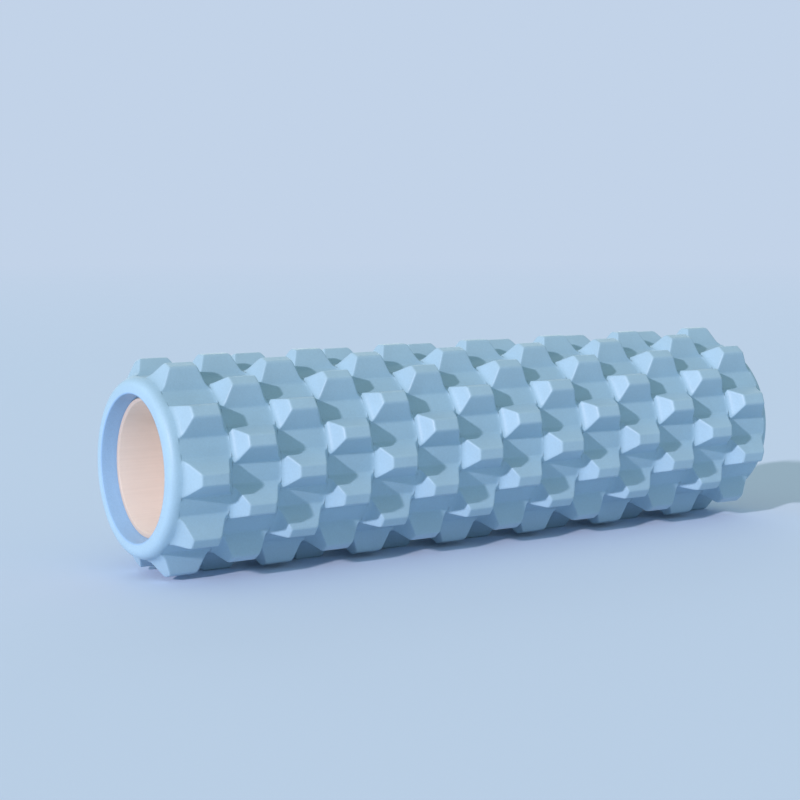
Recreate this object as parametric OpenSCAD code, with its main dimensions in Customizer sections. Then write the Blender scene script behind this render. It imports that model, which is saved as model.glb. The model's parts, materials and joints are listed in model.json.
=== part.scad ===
// Massage foam roller: a moulded foam sleeve with staggered blocky knobs, on a
// rigid hollow core tube. The roller's axis lies along X, the origin is the
// middle of the roller, and +Z is up. Lengths are in millimetres.

/* [Sleeve] */
// Overall length, end rim to end rim
sleeve_len = 450; // [420:5:600]
// Diameter over the knob tips
tip_d = 127.4; // [120:0.2:160]
// Foam thickness under the valleys, out from the core tube
foam_wall = 11.5; // [10:0.5:16]
// Rounding of the outer edge of each end rim
rim_round = 6; // [2:0.5:6]
// How much wider the mouth of each end recess is than the tube, on the radius
lip_flare = 1.8; // [1:0.2:3.4]
// Rounding of the foam lip around each end recess
lip_round = 0.8; // [0.4:0.2:1.6]

/* [Knobs] */
// Rings of knobs along the sleeve
rings = 14; // [8:1:14]
// Knobs around each ring
knobs_per_ring = 10; // [6:1:10]
// Plain band between each end face and the nearest knobs
end_band = 7.8; // [6:0.1:14]
// Height of a knob above the valley surface
knob_h = 11; // [6:0.5:14]
// Length of a knob at the valley surface, along the roller
knob_base_len = 28; // [20:0.5:28]
// Length of a knob at its tip, along the roller
knob_tip_len = 17.6; // [10:0.2:19]
// Width of a knob at the valley surface, around the roller
knob_base_w = 20.2; // [14:0.2:22]
// Width of a knob at its tip, around the roller
knob_tip_w = 7.2; // [4:0.2:12]

/* [Core tube] */
// Wall thickness of the core tube
core_wall = 3; // [2:0.5:5]
// How far each end of the core tube sits inside the foam
core_recess = 9; // [4:0.5:20]
// Rounding of the core tube's end edges
core_edge = 0.8; // [0.3:0.1:0.9]

/* [Hidden] */

$fn = 120;

// A cut reaches this far past the surface that it cuts
overcut = 1;
// A knob's flanks carry on this far under the valley surface
knob_root = 2;

tip_r = tip_d / 2;
valley_r = tip_r - knob_h;
core_r = valley_r - foam_wall;
core_len = sleeve_len - 2 * core_recess;
ring_pitch = (sleeve_len - 2 * end_band - knob_base_len) / (rings - 1);
knob_step = 360 / knobs_per_ring;
flare_angle = atan(lip_flare / core_recess);

// What a rounding of radius r takes off a corner. The rounding's centre is the
// origin, one face of the corner is at +Y, and the other is at +X, turned
// towards +Y by the angle lean.
module corner_waste(r, lean = 0) {
  reach = r + overcut;
  side = reach * cos(lean);
  difference() {
    polygon([[0, 0], [side, reach * sin(lean)], [side, reach], [0, reach]]);
    circle(r);
  }
}

// Half section of a tube about Y, with what is given as children taken off
// at both ends alike
module tube_section(inner_r, outer_r, len) {
  difference() {
    translate([inner_r, -len / 2])
      square([outer_r - inner_r, len]);
    for (end = [0, 1])
      mirror([0, end])
        children();
  }
}

// The sleeve's end: a rounded rim, and a recess that widens towards its mouth
// and ends in a rounded lip
module sleeve_end_cuts() {
  face_y = sleeve_len / 2;
  tube_y = core_len / 2;
  lip_x = core_r + lip_flare + lip_round / tan(45 + flare_angle / 2);
  translate([valley_r - rim_round, face_y - rim_round])
    corner_waste(rim_round);
  translate([lip_x, face_y - lip_round])
    mirror([1, 0])
      corner_waste(lip_round, flare_angle);
  polygon([
    [core_r - overcut, tube_y],
    [core_r, tube_y],
    [core_r + lip_flare + overcut * tan(flare_angle), face_y + overcut],
    [core_r - overcut, face_y + overcut]
  ]);
}

// The core tube's end: both edges rounded
module tube_end_cuts() {
  edge_y = core_len / 2 - core_edge;
  translate([core_r - core_edge, edge_y])
    corner_waste(core_edge);
  translate([core_r - core_wall + core_edge, edge_y])
    mirror([1, 0])
      corner_waste(core_edge);
}

// Turns a half section about Y into a solid about the roller's axis
module around_axis() {
  rotate([0, 90, 0])
    rotate_extrude()
      children();
}

// One outline of a knob, as a long bar: a trapezoid as wide as base at the
// valley surface and as tip at the top, carried down into the foam on its slopes
module knob_outline(base, tip) {
  root = base + (base - tip) * knob_root / knob_h;
  linear_extrude(height = 2 * tip_r, center = true)
    polygon([
      [-root / 2, valley_r - knob_root],
      [root / 2, valley_r - knob_root],
      [tip / 2, tip_r],
      [-tip / 2, tip_r]
    ]);
}

// A blocky knob that points to +Z, with four sloping flanks and a flat tip:
// what its two outlines have in common
module knob() {
  intersection() {
    rotate([90, 0, 0])
      knob_outline(knob_base_len, knob_tip_len);
    rotate([90, 0, 90])
      knob_outline(knob_base_w, knob_tip_w);
  }
}

// All the knobs. The first ring has a knob at the side of the roller, and each
// next ring is turned by half a knob step, so that the even rings have a knob
// straight down when there are ten to a ring.
module knobs() {
  for (ring = [0 : rings - 1])
    translate([(ring - (rings - 1) / 2) * ring_pitch, 0, 0])
      for (k = [0 : knobs_per_ring - 1])
        rotate([90 + (k + (ring % 2) / 2) * knob_step, 0, 0])
          knob();
}

module foam_sleeve() {
  color([0.60, 0.76, 0.90])
    union() {
      around_axis()
        tube_section(core_r, valley_r, sleeve_len)
          sleeve_end_cuts();
      knobs();
    }
}

module core_tube() {
  color([0.90, 0.78, 0.72])
    around_axis()
      tube_section(core_r - core_wall, core_r, core_len)
        tube_end_cuts();
}

foam_sleeve();
core_tube();
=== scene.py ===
"""Looks for the massage foam roller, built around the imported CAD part.

The roller's axis lies along X and it rests on the knobs that point to -Z.
Around the axis, a turn of zero points to +Z and a turn of 90 degrees to -Y.
Two pieces stand for the two CAD nodes: the moulded foam sleeve with its
staggered knobs, and the rigid core tube inside it. Lengths are in metres.
"""

import json
import math

import bmesh
import bpy
import numpy as np
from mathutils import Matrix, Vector


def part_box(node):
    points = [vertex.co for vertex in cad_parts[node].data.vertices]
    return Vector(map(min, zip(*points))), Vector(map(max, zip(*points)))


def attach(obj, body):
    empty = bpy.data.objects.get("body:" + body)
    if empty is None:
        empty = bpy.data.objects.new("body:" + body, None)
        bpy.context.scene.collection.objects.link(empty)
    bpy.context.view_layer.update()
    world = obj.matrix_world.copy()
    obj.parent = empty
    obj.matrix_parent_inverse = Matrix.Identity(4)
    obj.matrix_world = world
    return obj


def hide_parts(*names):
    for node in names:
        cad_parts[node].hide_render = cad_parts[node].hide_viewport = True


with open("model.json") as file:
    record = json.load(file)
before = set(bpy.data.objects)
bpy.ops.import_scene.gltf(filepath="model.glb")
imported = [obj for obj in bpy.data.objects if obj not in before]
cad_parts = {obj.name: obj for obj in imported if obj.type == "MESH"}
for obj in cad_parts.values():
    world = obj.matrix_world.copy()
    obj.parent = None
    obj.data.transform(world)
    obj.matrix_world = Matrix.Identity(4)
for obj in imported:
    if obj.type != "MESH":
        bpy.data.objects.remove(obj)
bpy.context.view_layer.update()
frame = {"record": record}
MM = 0.001

# ---------------------------------------------------------------- sizes

sleeve_low, sleeve_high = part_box("foam_sleeve")
tube_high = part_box("core_tube")[1]
mounts = {mount["name"]: mount for mount in frame["record"]["mounts"]}

HALF_LEN = sleeve_high.x
TIP_R = sleeve_high.y
TUBE_HALF_LEN = tube_high.x
SLEEVE_BORE_R = tube_high.y
CORE_BORE_R = mounts["core_bore"]["dims"]["r_mm"] * MM
FLOOR_Z = sleeve_low.z

# The frame holds no sizes for what follows, so they repeat the CAD part's own.
RINGS = 14
KNOBS_PER_RING = 10
KNOB_HEIGHT = 11 * MM
FOOT_HALF_LEN = 14 * MM  # half a knob's length at the valley, along the roller
TIP_HALF_LEN = 8.8 * MM
FOOT_HALF_WIDTH = 10.1 * MM  # half its width at the valley, around the roller
TIP_HALF_WIDTH = 3.6 * MM
END_BAND = 7.8 * MM  # plain band between an end face and the nearest knobs

RIM_ROUND = 6 * MM
LIP_ROUND = 0.8 * MM
LIP_FLARE = 1.8 * MM  # the recess mouth is this much wider than the bore
TUBE_EDGE = 0.8 * MM  # round on the tube's edges

# These are left out of the CAD part.
END_FILLET = 5.4 * MM  # a knob's end faces run into the valley in a wide curve
FLANK_FILLET = 2.0 * MM  # its flanks in a tight one
EDGE_SOFTNESS = 1.7 * MM  # how much the moulding softens the slanted edges
TIP_SOFTNESS = 1.8 * MM  # and the edges round the tip
SOFT_ABOVE = 0.3 * KNOB_HEIGHT  # the slanted edges sharpen below this height
TUBE_GAP = 0.05 * MM  # keeps the tube's outside just clear of the foam

VALLEY_R = TIP_R - KNOB_HEIGHT
PITCH = 2 * (HALF_LEN - END_BAND - FOOT_HALF_LEN) / (RINGS - 1)
STEP = 2 * math.pi / KNOBS_PER_RING
TILE_MARGIN = END_BAND + FOOT_HALF_LEN - PITCH / 2  # end face to nearest tile
RECESS = HALF_LEN - TUBE_HALF_LEN

# ------------------------------------------------------ shape of the foam

FILLET_POINTS = 16
FLANK_POINTS = 60
LEAST_SOFTNESS = 1e-9  # a softness of zero would divide by zero


def with_fillet(run, height, slope, foot, radius):
    """Ends a slope in a round fillet on level ground.

    run and height are the slope's points, outward from the knob's middle,
    foot is where the slope would meet the ground, and slope is its steepness
    there. Returns the points of the whole profile.
    """
    lean = math.atan(slope)
    turn = np.linspace(lean, 0, FILLET_POINTS)
    arc_run = foot + radius * (math.tan(lean / 2) - np.sin(turn))
    arc_height = radius * (1 - np.cos(turn))
    above = run < arc_run[0]
    return (
        np.concatenate([run[above], arc_run]),
        np.concatenate([height[above], arc_height]),
    )


def end_profile():
    """A knob's end face: its slope, and its height above the valley against
    distance along X."""
    slope = KNOB_HEIGHT / (FOOT_HALF_LEN - TIP_HALF_LEN)
    run = np.array([0.0, FOOT_HALF_LEN])
    height = slope * (FOOT_HALF_LEN - run)
    return slope, with_fillet(run, height, slope, FOOT_HALF_LEN, END_FILLET)


def flank_profile():
    """A knob's flank: its height above the valley against distance around."""
    lean = (FOOT_HALF_WIDTH - TIP_HALF_WIDTH) / KNOB_HEIGHT
    peak = TIP_HALF_WIDTH + lean * TIP_R
    tilt = math.atan(lean)
    crossing = math.asin(peak / (VALLEY_R * math.hypot(1, lean)))
    foot_turn = crossing - tilt
    turn = np.linspace(0, foot_turn, FLANK_POINTS)
    height = peak / (np.sin(turn) + lean * np.cos(turn)) - VALLEY_R
    slope = 1 / math.tan(crossing)
    foot = VALLEY_R * foot_turn
    return with_fillet(VALLEY_R * turn, height, slope, foot, FLANK_FILLET)


END_SLOPE, END_PROFILE = end_profile()
FLANK_PROFILE = flank_profile()


def smooth_min(a, b, softness):
    """The lower of a and b, with the crease between them rounded off."""
    softness = np.maximum(softness, LEAST_SOFTNESS)
    overlap = np.maximum(softness - np.abs(a - b), 0)
    return np.minimum(a, b) - overlap**2 / (4 * softness)


def smooth_step(value, low, high):
    """0 below low, 1 above high, and a smooth rise between."""
    t = np.clip((value - low) / (high - low), 0, 1)
    return t * t * (3 - 2 * t)


def knob_height(along, turn):
    """Height above the valley of one knob, at a place given from its middle."""
    cos = np.cos(turn)
    level = VALLEY_R * (1 - cos) / END_SLOPE
    end = np.interp(np.abs(along) - level, *END_PROFILE) / cos
    flank = np.interp(VALLEY_R * np.abs(turn), *FLANK_PROFILE)
    fade = smooth_step(np.minimum(end, flank), 0, SOFT_ABOVE)
    side = smooth_min(end, flank, EDGE_SOFTNESS * fade)
    tip = TIP_R / cos - VALLEY_R
    return np.maximum(smooth_min(side, tip, TIP_SOFTNESS), 0)


def ring_place(ring):
    """Where a ring's first knob is: place along X, and turn about it. Every
    other ring is turned half a step."""
    return (ring - (RINGS - 1) / 2) * PITCH, math.pi / 2 + ring % 2 * STEP / 2


def foam_height(x, turn):
    """Height of the foam above the valley anywhere on the sleeve."""
    total = np.zeros_like(x)
    for ring in range(RINGS):
        ring_x, ring_turn = ring_place(ring)
        near_turn = (turn - ring_turn + STEP / 2) % STEP - STEP / 2
        total += knob_height(x - ring_x, near_turn)
    return total


def on_sleeve(x, radius, turn):
    """Points from place along the axis, distance from it and turn about it."""
    return np.stack([x, -radius * np.sin(turn), radius * np.cos(turn)], axis=-1)


# ------------------------------------------------------- mesh of the foam

HALF_COLUMNS = 7  # cells in half a knob's length
HALF_ROWS = 6  # cells in half its width
COLUMNS = 2 * HALF_COLUMNS
ROWS = 2 * HALF_ROWS
TURNS = KNOBS_PER_RING * ROWS  # points in each ring of the plain end bands

# Loops round a knob: on its tip, in mm in from the tip's edge; down its sides,
# in mm above the valley; and across the valley, as shares of the way from the
# lowest side loop out to the tile's edge along X and to the foot around it.
TIP_INSETS = (1.3, 0.8, 0.4, 0.12)
SIDE_HEIGHTS = (10.75, 10.2, 9.4, 7.4, 5.2, 3.1, 1.9, 1.1, 0.6)
VALLEY_SHARES = ((0.3, 0.35), (0.55, 0.7), (0.75, 1.0))
LAST_GAP = 0.15 * MM  # between the last loop inside a tile and its edge

# How much a loop's points crowd towards its corners, along X and around it.
KNOB_CROWDING = (3.0, 2.6)
VALLEY_CROWDING = (2.6, 2.2)
LAST_CROWDING = (2.4, 0.9)
EDGE_CROWDING = (2.2, 0.0)

# Loops of the plain ends.
RIM_POINTS = 10
LIP_POINTS = 6
FACE_SHARES = (0.12, 0.5, 0.88)  # of the flat face, from the rim to the lip
RECESS_SHARES = (0.25, 0.55, 0.85, 1.0)  # of the recess's depth
BORE_START = 12 * MM  # first loop of the bore, past the recess

TUBE_SIDES = 144
TUBE_EDGE_POINTS = 6
TUBE_SHARES = (0.93, 0.8, 0.4)  # loops of the tube's bore, of its half length

JOIN_DISTANCE = 0.01 * MM  # points closer than this become one


def spread(half_size, half_cells, crowding):
    """Places from -half_size to half_size, crowded towards both ends."""
    t = np.linspace(0, 1, half_cells + 1)
    if crowding > 0:
        t = np.expm1(crowding * t) / np.expm1(crowding)
    inner = half_size * (1 - t)
    return np.concatenate([-inner, inner[-2::-1]])


def grid_lines(half_len, half_turn, crowd_len, crowd_turn):
    """The places along X and the turns of a grid within an outline."""
    columns = spread(half_len, HALF_COLUMNS, crowd_len)
    rows = spread(half_turn, HALF_ROWS, crowd_turn)
    return columns, rows


def border():
    """The border points of the tile's grid, once round it."""
    right = [(i, 0) for i in range(COLUMNS)]
    up = [(COLUMNS, j) for j in range(ROWS)]
    left = [(i, ROWS) for i in range(COLUMNS, 0, -1)]
    down = [(0, j) for j in range(ROWS, 0, -1)]
    return right + up + left + down


def tile_outlines():
    """Half length, half turn and crowding of the loops round a knob, from the
    flat of its tip, over the tip's edges and down its sides, to its foot and
    the edge of its tile. Down the sides each loop keeps to one height."""
    tip_turn = TIP_HALF_WIDTH / TIP_R
    outlines = []
    for inset in TIP_INSETS:
        inset *= MM
        half_turn = tip_turn - inset / TIP_R
        outlines.append((TIP_HALF_LEN - inset, half_turn, *KNOB_CROWDING))
    for height in SIDE_HEIGHTS:
        half_len = np.interp(-height * MM, -END_PROFILE[1], END_PROFILE[0])
        half_arc = np.interp(-height * MM, -FLANK_PROFILE[1], FLANK_PROFILE[0])
        outlines.append((half_len, half_arc / VALLEY_R, *KNOB_CROWDING))
    start_len, start_turn = outlines[-1][:2]
    foot_turn = FLANK_PROFILE[0][-1] / VALLEY_R
    for len_share, turn_share in VALLEY_SHARES:
        half_len = start_len + len_share * (PITCH / 2 - start_len)
        half_turn = start_turn + turn_share * (foot_turn - start_turn)
        outlines.append((half_len, half_turn, *VALLEY_CROWDING))
    last_turn = (foot_turn + STEP / 2) / 2
    outlines.append((PITCH / 2 - LAST_GAP, last_turn, *LAST_CROWDING))
    outlines.append((PITCH / 2, STEP / 2, *EDGE_CROWDING))
    return outlines


def tile():
    """One knob's tile, flat: places along X, turns, and faces."""
    outlines = tile_outlines()
    columns, rows = grid_lines(*outlines[0])
    grid = np.meshgrid(columns, rows, indexing="ij")
    along, turn = (list(part.ravel()) for part in grid)

    def grid_index(i, j):
        return i * (ROWS + 1) + j

    faces = []
    for i in range(COLUMNS):
        for j in range(ROWS):
            faces.append((
                grid_index(i, j),
                grid_index(i + 1, j),
                grid_index(i + 1, j + 1),
                grid_index(i, j + 1),
            ))

    inner = [grid_index(i, j) for i, j in border()]
    for outline in outlines[1:]:
        columns, rows = grid_lines(*outline)
        outer = [len(along) + n for n in range(len(inner))]
        for i, j in border():
            along.append(columns[i])
            turn.append(rows[j])
        for n in range(len(inner)):
            after = (n + 1) % len(inner)
            faces.append((inner[n], outer[n], outer[after], inner[after]))
        inner = outer
    return np.array(along), np.array(turn), np.array(faces)


def end_section():
    """Half section of one plain end, from the knobs round the rim and into the
    recess: depths from the end face, radii, and whether knobs still show."""
    points = [(TILE_MARGIN, VALLEY_R, True)]
    for t in np.linspace(0, math.pi / 2, RIM_POINTS):
        depth = RIM_ROUND * (1 - math.sin(t))
        points.append((depth, VALLEY_R - RIM_ROUND * (1 - math.cos(t)), True))
    flare = math.atan(LIP_FLARE / RECESS)
    lip_run = LIP_ROUND / math.tan(math.pi / 4 + flare / 2)
    lip_r = SLEEVE_BORE_R + LIP_FLARE + lip_run
    rim_r = VALLEY_R - RIM_ROUND
    for share in FACE_SHARES:
        points.append((0.0, rim_r + share * (lip_r - rim_r), False))
    for t in np.linspace(0, math.pi / 2 - flare, LIP_POINTS):
        depth = LIP_ROUND * (1 - math.cos(t))
        points.append((depth, lip_r - LIP_ROUND * math.sin(t), False))
    for share in RECESS_SHARES:
        depth = share * RECESS
        points.append((depth, SLEEVE_BORE_R + LIP_FLARE * (1 - share), False))
    points.append((RECESS + BORE_START, SLEEVE_BORE_R, False))
    return points


def make_object(name, points, faces, smooth=True):
    """A mesh object from points and faces, with points in one place joined."""
    mesh = bpy.data.meshes.new(name)
    mesh.from_pydata([tuple(p) for p in points], [], [tuple(f) for f in faces])
    made = bmesh.new()
    made.from_mesh(mesh)
    bmesh.ops.remove_doubles(made, verts=made.verts, dist=JOIN_DISTANCE)
    bmesh.ops.recalc_face_normals(made, faces=made.faces)
    made.to_mesh(mesh)
    made.free()
    mesh.polygons.foreach_set("use_smooth", [smooth] * len(mesh.polygons))
    obj = bpy.data.objects.new(name, mesh)
    bpy.context.scene.collection.objects.link(obj)
    return obj


def build_sleeve():
    """The foam sleeve: a tile for each knob, and the two plain ends joined by
    the bore."""
    points, faces = [], []
    tile_along, tile_turn, tile_faces = tile()
    count = 0
    for ring in range(RINGS):
        ring_x, ring_turn = ring_place(ring)
        for knob in range(KNOBS_PER_RING):
            x = ring_x + tile_along
            turn = ring_turn + knob * STEP + tile_turn
            radius = VALLEY_R + foam_height(x, turn)
            points.append(on_sleeve(x, radius, turn))
            faces.extend(tile_faces + count)
            count += len(x)

    turn = np.arange(TURNS) * 2 * math.pi / TURNS
    end = end_section()
    section = [(-HALF_LEN + depth, *rest) for depth, *rest in end]
    section += [(HALF_LEN - depth, *rest) for depth, *rest in reversed(end)]
    for n, (x, radius, knobs_show) in enumerate(section):
        across = np.full(TURNS, x)
        lift = foam_height(across, turn) if knobs_show else 0
        points.append(on_sleeve(across, radius + lift, turn))
        if n:
            first = count - TURNS
            for k in range(TURNS):
                after = (k + 1) % TURNS
                faces.append((first + k, first + after, count + after, count + k))
        count += TURNS
    return make_object("foam_sleeve_skin", np.concatenate(points), faces)


def build_tube():
    """The core tube: a closed section, with rounded edges at both ends, turned
    about the axis."""
    section = []
    for turns, wall_r, into_wall in (
        ((0, math.pi / 2), SLEEVE_BORE_R - TUBE_GAP, -1),
        ((math.pi / 2, 0), CORE_BORE_R, 1),
    ):
        for t in np.linspace(*turns, TUBE_EDGE_POINTS):
            section.append((
                TUBE_HALF_LEN - TUBE_EDGE * (1 - math.sin(t)),
                wall_r + into_wall * TUBE_EDGE * (1 - math.cos(t)),
            ))
    section += [(share * TUBE_HALF_LEN, CORE_BORE_R) for share in TUBE_SHARES]
    section += [(-x, r) for x, r in reversed(section)]

    turn = np.arange(TUBE_SIDES) * 2 * math.pi / TUBE_SIDES
    points = [on_sleeve(np.full(TUBE_SIDES, x), r, turn) for x, r in section]
    faces = []
    for n in range(len(section)):
        here = n * TUBE_SIDES
        there = (n + 1) % len(section) * TUBE_SIDES
        for k in range(TUBE_SIDES):
            after = (k + 1) % TUBE_SIDES
            faces.append((here + k, here + after, there + after, there + k))
    return make_object("core_tube_wall", np.concatenate(points), faces)


def add_height_attribute(obj):
    """Stores how high each point of the foam stands, for the foam's material:
    0 in the valleys, 1 on the tips, and below 0 on the rims and in the recess."""
    mesh = obj.data
    place = np.empty(len(mesh.vertices) * 3, np.float32)
    mesh.vertices.foreach_get("co", place)
    place = place.reshape(-1, 3)
    radius = np.hypot(place[:, 1], place[:, 2])
    height = (radius - VALLEY_R) / KNOB_HEIGHT
    attribute = mesh.attributes.new("knob_height", "FLOAT", "POINT")
    attribute.data.foreach_set("value", height.astype(np.float32))


# ------------------------------------------------------------- materials

NOISE_RANGE = (0.3, 0.7)  # nearly all of a noise texture's values lie in it


class Nodes:
    """A short way to write a material's nodes."""

    def __init__(self, name):
        self.material = bpy.data.materials.new(name)
        self.material.use_nodes = True
        self.tree = self.material.node_tree
        self.tree.nodes.clear()

    def feed(self, socket, value):
        """Gives a socket a value, or links another node's output to it."""
        if isinstance(value, bpy.types.NodeSocket):
            self.tree.links.new(value, socket)
        else:
            socket.default_value = value

    def add(self, kind, settings=None, **inputs):
        """Adds a node. Inputs are values or other nodes' outputs, by name with
        _ for each space."""
        made = self.tree.nodes.new(kind)
        for key, value in (settings or {}).items():
            setattr(made, key, value)
        for key, value in inputs.items():
            self.feed(made.inputs[key.replace("_", " ")], value)
        return made

    def math(self, operation, a, b=0.0):
        made = self.add("ShaderNodeMath", {"operation": operation})
        for socket, value in zip(made.inputs, (a, b)):
            self.feed(socket, value)
        return made.outputs[0]

    def mix(self, share, a, b):
        """Mixes two colours. A Mix node has the same input names once for each
        data type, so its colour inputs go by number."""
        made = self.add("ShaderNodeMix", {"data_type": "RGBA"})
        for number, value in ((0, share), (6, a), (7, b)):
            self.feed(made.inputs[number], value)
        return made.outputs[2]

    def remap(self, value, given, wanted):
        """Maps one range of values onto another, and clamps what lies outside."""
        made = self.add(
            "ShaderNodeMapRange",
            {"clamp": True},
            Value=value,
            From_Min=given[0],
            From_Max=given[1],
            To_Min=wanted[0],
            To_Max=wanted[1],
        )
        return made.outputs["Result"]

    def noise(self, where, scale, detail=2.0, roughness=0.5):
        made = self.add(
            "ShaderNodeTexNoise",
            Vector=where,
            Scale=scale,
            Detail=detail,
            Roughness=roughness,
        )
        return made.outputs["Fac"]

    def shade(self, colour, value):
        """Makes a colour lighter or darker."""
        made = self.add("ShaderNodeHueSaturation", Color=colour, Value=value)
        return made.outputs["Color"]

    def bump(self, height, distance, strength, **normal):
        made = self.add(
            "ShaderNodeBump",
            Height=height,
            Distance=distance,
            Strength=strength,
            **normal,
        )
        return made.outputs["Normal"]

    def object_place(self):
        return self.add("ShaderNodeTexCoord").outputs["Object"]

    def finish(self, shader):
        self.add("ShaderNodeOutputMaterial", Surface=shader)
        return self.material


FOAM_COLOUR = (0.368, 0.545, 0.68, 1)
FOAM_DEEP = (0.348, 0.53, 0.67, 1)
FOAM_WORN = (0.39, 0.565, 0.695, 1)
# painted highlight: a paler blue on the rounded rims, where the light falls on
# them
FOAM_RIM_HIGHLIGHT = (0.405, 0.605, 0.76, 1)
# painted shade: a slightly darker, bluer foam in the recess
FOAM_RECESS_SHADE = (0.32, 0.525, 0.78, 1)

# Heights between which one foam colour turns into the next, in knob heights.
DEEP_HEIGHTS = (0.0, 0.5)
WORN_HEIGHTS = (0.88, 1.0)
# the rims carry a painted highlight, and the recess painted shade
RIM_HIGHLIGHT_HEIGHTS = (-0.3, -0.04)
RECESS_SHADE_HEIGHTS = (-0.84, -0.78)

FOAM_CLOUD_SCALE = 45
FOAM_CLOUD_SHADE = (0.965, 1.025)
FOAM_SPECKLE_SCALE = 900
FOAM_SPECKLE_SHADE = (-0.03, 0.03)
WORN_SHARE = 0.5  # how far the tips go towards the worn colour
FOAM_ROUGHNESS = (0.44, 0.52)
WORN_ROUGHNESS = -0.06  # what wear adds to the roughness of the tips
FOAM_SPECULAR = 0.42
FOAM_SHEEN = 0.08
FOAM_SHEEN_ROUGHNESS = 0.4

DENT_SCALE = 160
DENT_DEPTH = 0.18 * MM
CELL_SCALE = 1100.0
CELL_DEPTH = 0.1 * MM
FOAM_BUMP_STRENGTH = 0.5


def foam_material():
    """Moulded EVA foam: a fine closed-cell grain, faint clouding from the
    mould, tips burnished by use, a painted highlight that makes the rims paler,
    and a bluer painted shade in the recess."""
    n = Nodes("eva_foam")
    where = n.object_place()
    height = n.add("ShaderNodeAttribute", {"attribute_name": "knob_height"})
    height = height.outputs["Fac"]
    clouding = n.noise(where, FOAM_CLOUD_SCALE, detail=3)
    speckle = n.noise(where, FOAM_SPECKLE_SCALE, roughness=0.6)
    worn = n.remap(height, WORN_HEIGHTS, (0, 1))

    colour = n.mix(n.remap(height, DEEP_HEIGHTS, (0, 1)), FOAM_DEEP, FOAM_COLOUR)
    colour = n.mix(n.math("MULTIPLY", worn, WORN_SHARE), colour, FOAM_WORN)
    # painted highlight on the rims
    colour = n.mix(n.remap(height, RIM_HIGHLIGHT_HEIGHTS, (1, 0)), colour, FOAM_RIM_HIGHLIGHT)
    # painted shade in the recess
    colour = n.mix(n.remap(height, RECESS_SHADE_HEIGHTS, (1, 0)), colour, FOAM_RECESS_SHADE)
    shade = n.math(
        "ADD",
        n.remap(clouding, NOISE_RANGE, FOAM_CLOUD_SHADE),
        n.remap(speckle, NOISE_RANGE, FOAM_SPECKLE_SHADE),
    )
    roughness = n.math(
        "ADD",
        n.remap(clouding, NOISE_RANGE, FOAM_ROUGHNESS),
        n.math("MULTIPLY", worn, WORN_ROUGHNESS),
    )

    dents = n.noise(where, DENT_SCALE)
    cells = n.add(
        "ShaderNodeTexVoronoi",
        {"feature": "SMOOTH_F1"},
        Vector=where,
        Scale=CELL_SCALE,
    )
    normal = n.bump(dents, DENT_DEPTH, FOAM_BUMP_STRENGTH)
    normal = n.bump(
        cells.outputs["Distance"], CELL_DEPTH, FOAM_BUMP_STRENGTH, Normal=normal
    )
    shader = n.add(
        "ShaderNodeBsdfPrincipled",
        Base_Color=n.shade(colour, shade),
        Roughness=roughness,
        Normal=normal,
        Specular_IOR_Level=FOAM_SPECULAR,
        Sheen_Weight=FOAM_SHEEN,
        Sheen_Roughness=FOAM_SHEEN_ROUGHNESS,
    )
    return n.finish(shader.outputs["BSDF"])


CORE_COLOUR = (0.82, 0.712, 0.645, 1)
CORE_CLOUD = (0.84, 0.737, 0.67, 1)
# darker at both ends of the tube, over the end faces and their rounded edges
CORE_END_TONE = (0.58, 0.475, 0.41, 1)
CORE_PAINTED_GLOW = 0.09  # painted light: a faint glow that real plastic lacks, to lighten the shade inside the tube

CORE_CLOUD_SCALE = 60
CORE_LINE_SCALE = 700
CORE_LINE_SQUEEZE = (0.02, 1, 1)  # draws the noise out along the tube
CORE_LINE_SHADE = (0.975, 1.02)
CORE_LINE_DEPTH = 0.05 * MM
CORE_BUMP_STRENGTH = 0.35
CORE_ROUGHNESS = (0.38, 0.5)
CORE_SPECULAR = 0.4


def core_material():
    """Extruded satin plastic in a pale peach, with faint lines drawn along the
    tube by the die. The tube's ends are darker than the rest, and a faint
    painted glow lights the shaded inside of the tube."""
    n = Nodes("core_plastic")
    where = n.object_place()
    drawn = n.add("ShaderNodeMapping", Vector=where, Scale=CORE_LINE_SQUEEZE)
    drawn = drawn.outputs["Vector"]
    lines = n.noise(drawn, CORE_LINE_SCALE, detail=3, roughness=0.6)
    clouding = n.noise(where, CORE_CLOUD_SCALE, detail=3)

    place = n.add("ShaderNodeSeparateXYZ", Vector=where).outputs["X"]
    from_middle = n.math("ABSOLUTE", place)
    edge = (TUBE_HALF_LEN - TUBE_EDGE, TUBE_HALF_LEN)
    # 1 over the tube's end faces, where the colour turns darker
    tube_end_share = n.remap(from_middle, edge, (0, 1))

    cloud = n.remap(clouding, NOISE_RANGE, (0, 1))
    colour = n.mix(cloud, CORE_COLOUR, CORE_CLOUD)
    colour = n.mix(tube_end_share, colour, CORE_END_TONE)
    tone = n.shade(colour, n.remap(lines, NOISE_RANGE, CORE_LINE_SHADE))
    shader = n.add(
        "ShaderNodeBsdfPrincipled",
        Base_Color=tone,
        Roughness=n.remap(lines, NOISE_RANGE, CORE_ROUGHNESS),
        Normal=n.bump(lines, CORE_LINE_DEPTH, CORE_BUMP_STRENGTH),
        Specular_IOR_Level=CORE_SPECULAR,
        # painted light: the core glows faintly
        Emission_Color=tone,
        Emission_Strength=CORE_PAINTED_GLOW,
    )
    return n.finish(shader.outputs["BSDF"])


FLOOR_COLOUR = (0.67, 0.765, 0.93, 1)
FLOOR_FADE = (1.2, 4.5)  # distances from the roller


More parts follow.
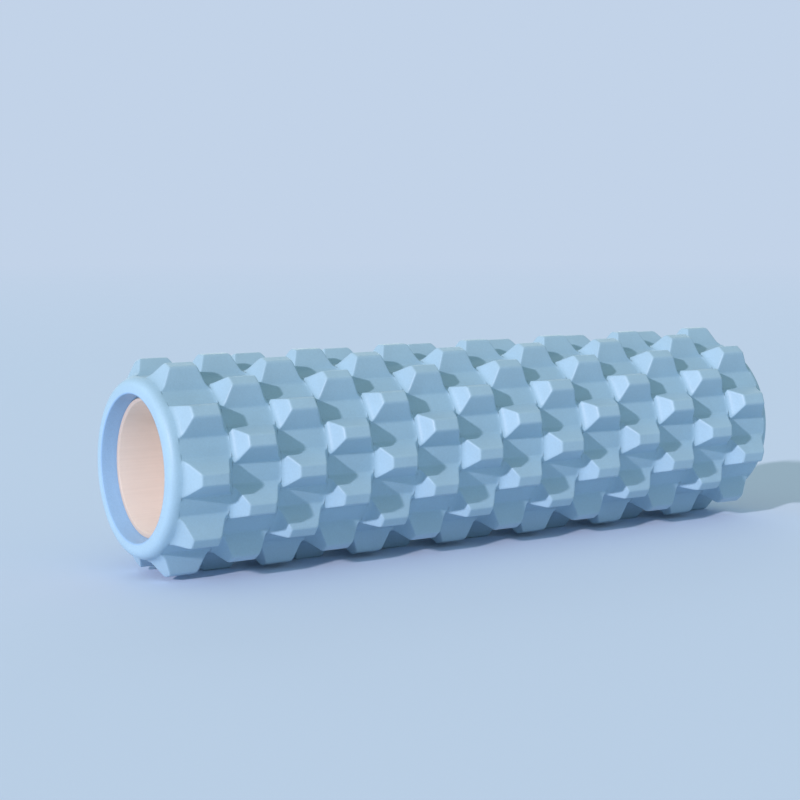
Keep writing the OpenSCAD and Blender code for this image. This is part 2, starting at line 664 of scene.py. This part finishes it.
def floor_material():
    """A plain pale floor that fades into the backdrop far from the roller."""
    n = Nodes("studio_floor")
    length = n.add("ShaderNodeVectorMath", {"operation": "LENGTH"})
    n.feed(length.inputs[0], n.object_place())
    fade = n.remap(length.outputs["Value"], FLOOR_FADE, (0, 1))
    shader = n.add(
        "ShaderNodeBsdfPrincipled",
        Base_Color=FLOOR_COLOUR,
        Roughness=1.0,
        Specular_IOR_Level=0.0,
    )
    clear = n.add("ShaderNodeBsdfTransparent")
    both = n.add("ShaderNodeMixShader", Fac=fade)
    n.feed(both.inputs[1], shader.outputs["BSDF"])
    n.feed(both.inputs[2], clear.outputs["BSDF"])
    return n.finish(both.outputs["Shader"])


# ---------------------------------------------------------------- pieces

sleeve = build_sleeve()
add_height_attribute(sleeve)
sleeve.data.materials.append(foam_material())

tube = build_tube()
tube.data.materials.append(core_material())

for piece, cad_node, slot in (
    (sleeve, "foam_sleeve", "foam"),
    (tube, "core_tube", "core_plastic"),
):
    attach(piece, "root")
    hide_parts(cad_node)

# ----------------------------------------------------------------- stage

FLOOR_HALF = 6.0

KEY_TOWARDS = (-0.88, -0.303, 0.367)
KEY_COLOUR = (1.0, 0.915, 1.0)
KEY_ENERGY = 2.48
KEY_ANGLE = 2.2  # degrees across, as for the fill

FILL_TOWARDS = (0.45, 0.85, 0.25)
FILL_COLOUR = (0.90, 0.96, 1.0)
FILL_ENERGY = 0.55
FILL_ANGLE = 50.0

AMBIENT_COLOUR = (0.402, 0.508, 0.512, 1)
BACKDROP_COLOUR = (0.54, 0.65, 0.81, 1)

CAMERA_PLACE = (-0.6749, -0.9803, 0.1606)
CAMERA_HEADING = 0.5739  # radians from +Y towards +X
CAMERA_PITCH = -0.0279  # radians above the horizon
FOCAL_LENGTH = 83.86  # in mm, as for the sensor
SENSOR_WIDTH = 36
LENS_SHIFT = -0.1986  # in picture widths
SHIFT_REACH = 20 * MM  # the shift is none from this far off the camera's place


def aim(obj, direction):
    """Turns a camera or a lamp so that it looks along a direction."""
    obj.rotation_mode = "QUATERNION"
    obj.rotation_quaternion = Vector(direction).to_track_quat("-Z", "Y")


def add_sun(name, towards, colour, energy, angle):
    """A sun lamp that shines from the direction `towards`."""
    lamp = bpy.data.lights.new(name, "SUN")
    lamp.color = colour
    lamp.energy = energy
    lamp.angle = math.radians(angle)
    obj = bpy.data.objects.new(name, lamp)
    bpy.context.scene.collection.objects.link(obj)
    aim(obj, -Vector(towards))


def set_world(light, backdrop):
    """Even light from all round, with a backdrop that only the camera sees."""
    world = bpy.data.worlds.new("studio")
    bpy.context.scene.world = world
    world.use_nodes = True
    tree = world.node_tree
    tree.nodes.clear()
    path = tree.nodes.new("ShaderNodeLightPath")
    both = tree.nodes.new("ShaderNodeMixShader")
    output = tree.nodes.new("ShaderNodeOutputWorld")
    for number, colour in ((1, light), (2, backdrop)):
        shade = tree.nodes.new("ShaderNodeBackground")
        shade.inputs["Color"].default_value = colour
        tree.links.new(shade.outputs[0], both.inputs[number])
    tree.links.new(path.outputs["Is Camera Ray"], both.inputs["Fac"])
    tree.links.new(both.outputs[0], output.inputs["Surface"])


def shift_lens(camera, shift):
    """Shifts the frame while the camera stays where it is now. A driver takes
    the shift off when the camera moves, so that other views are centred."""
    home = bpy.data.objects.new("camera_home", None)
    bpy.context.scene.collection.objects.link(home)
    home.location = camera.location
    curve = camera.data.driver_add("shift_y")
    curve.driver.type = "SUM"
    moved = curve.driver.variables.new()
    moved.type = "LOC_DIFF"
    moved.targets[0].id = camera
    moved.targets[1].id = home
    for modifier in list(curve.modifiers):  # or the keys would be ignored
        curve.modifiers.remove(modifier)
    for distance, value in ((0.0, shift), (SHIFT_REACH, 0.0)):
        key = curve.keyframe_points.insert(distance, value)
        key.interpolation = "LINEAR"


corners = ((-1, -1), (1, -1), (1, 1), (-1, 1))
floor = make_object(
    "floor",
    [(x * FLOOR_HALF, y * FLOOR_HALF, FLOOR_Z) for x, y in corners],
    [(0, 1, 2, 3)],
    smooth=False,
)
floor.data.materials.append(floor_material())

add_sun("key", KEY_TOWARDS, KEY_COLOUR, KEY_ENERGY, KEY_ANGLE)
add_sun("fill", FILL_TOWARDS, FILL_COLOUR, FILL_ENERGY, FILL_ANGLE)
set_world(AMBIENT_COLOUR, BACKDROP_COLOUR)

lens = bpy.data.cameras.new("camera")
lens.lens = FOCAL_LENGTH
lens.sensor_width = SENSOR_WIDTH
camera = bpy.data.objects.new("camera", lens)
bpy.context.scene.collection.objects.link(camera)
camera.location = CAMERA_PLACE
shift_lens(camera, LENS_SHIFT)
level = math.cos(CAMERA_PITCH)
aim(camera, (
    math.sin(CAMERA_HEADING) * level,
    math.cos(CAMERA_HEADING) * level,
    math.sin(CAMERA_PITCH),
))
bpy.context.scene.camera = camera

bpy.context.scene.view_settings.view_transform = "Standard"
bpy.context.scene.view_settings.look = "None"
